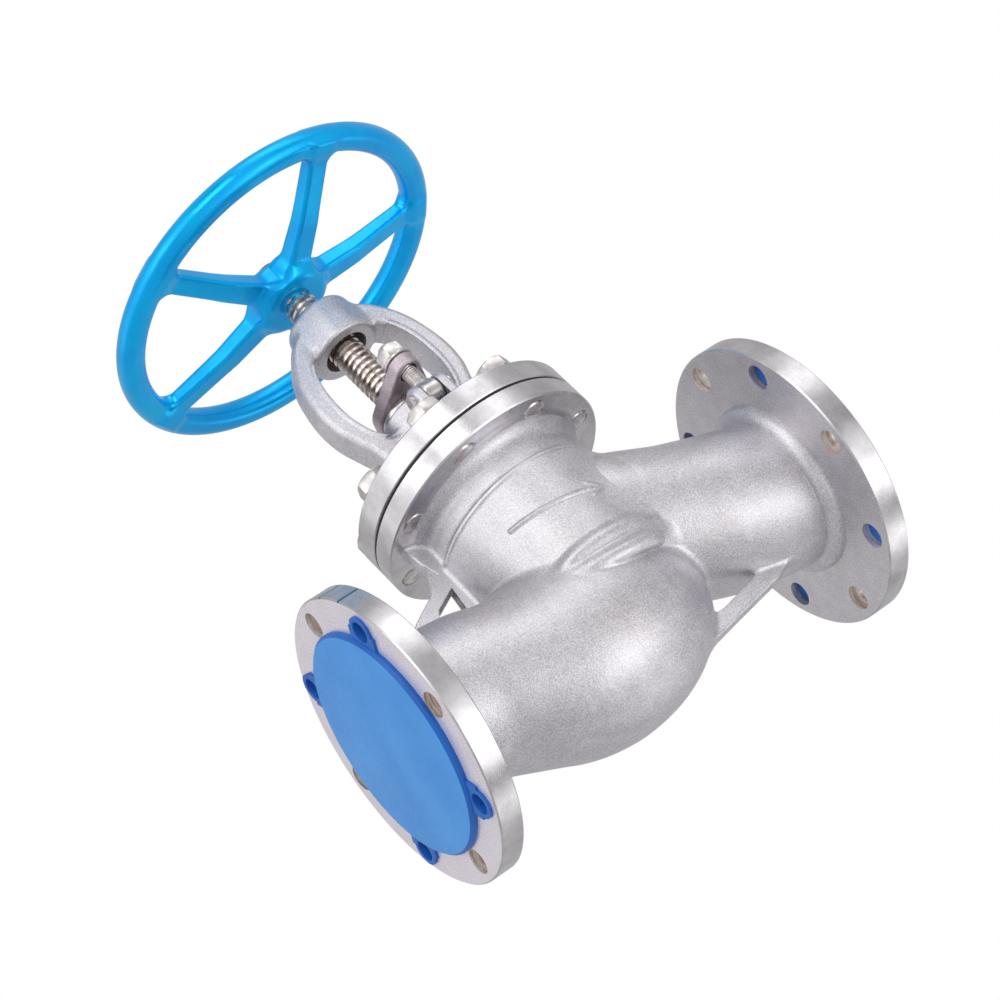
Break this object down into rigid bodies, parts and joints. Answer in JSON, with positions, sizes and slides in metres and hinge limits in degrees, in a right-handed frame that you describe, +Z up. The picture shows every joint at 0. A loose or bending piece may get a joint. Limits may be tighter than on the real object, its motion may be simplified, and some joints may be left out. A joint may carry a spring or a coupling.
{
  "type": "globe valve",
  "caption": "Flanged cast stainless steel globe valve with an outside-screw yoke, rising stem, spoked blue handwheel and blue push-in covers on its two pipe flanges.",
  "frame": {"origin": "centre of the inlet joint face, on the flow axis", "axes": "+X is the flow direction from inlet to outlet, +Z runs up the stem, which stands at x = 0.175 m"},
  "size_m": [0.3552, 0.2666, 0.4695],
  "materials": {
    "cast_stainless": "bead-blasted casting, machined on the joint faces and rims",
    "machined_stainless": "turned",
    "hard_facing": "ground",
    "polished_stem": "polished",
    "steel_fasteners": "bright, cold-formed",
    "bronze": "turned",
    "graphite": "matt black",
    "blue_paint": "gloss enamel",
    "blue_plastic": "semi-gloss moulded"
  },
  "bodies": {
    "valve": {"valve_body": "cast_stainless", "seat_ring": "hard_facing", "bonnet_gasket": "graphite", "bonnet": "cast_stainless", "bonnet_bolts": "steel_fasteners", "backseat_bush": "machined_stainless", "packing_washer": "machined_stainless", "packing_rings": "graphite", "gland_follower": "machined_stainless", "gland_flange": "cast_stainless", "gland_eyebolts": "steel_fasteners", "eyebolt_pins": "steel_fasteners", "gland_washers": "steel_fasteners", "gland_nuts": "steel_fasteners", "stem_nut": "bronze", "stem_nut_lock_screw": "steel_fasteners"},
    "plug": {"disc": "machined_stainless", "disc_nut": "machined_stainless"},
    "stem_and_wheel": {"stem": "polished_stem", "split_ring": "machined_stainless", "handwheel": "blue_paint", "handwheel_washer": "steel_fasteners", "handwheel_nut": "steel_fasteners"},
    "inlet_cap": {"inlet_cover": "blue_plastic"},
    "outlet_cap": {"outlet_cover": "blue_plastic"}
  },
  "joints": [
    {"name": "stem_lift", "type": "slide", "parent": "valve", "child": "plug", "axis": [0, 0, 1], "range_m": [0, 0.028]},
    {"name": "handwheel_turn", "type": "hinge", "parent": "plug", "child": "stem_and_wheel", "pos_m": [0.175, 0, 0.34], "axis": [0, 0, 1], "range_deg": [0, 2016]},
    {"name": "inlet_cover_pull", "type": "slide", "parent": "valve", "child": "inlet_cap", "axis": [-1, 0, 0], "range_m": [0, 0.06]},
    {"name": "outlet_cover_pull", "type": "slide", "parent": "valve", "child": "outlet_cap", "axis": [1, 0, 0], "range_m": [0, 0.06]}
  ],
  "couplings": [
    {"joint": "stem_lift", "follows": "handwheel_turn", "m_per_rad": 0.00079577}
  ]
}
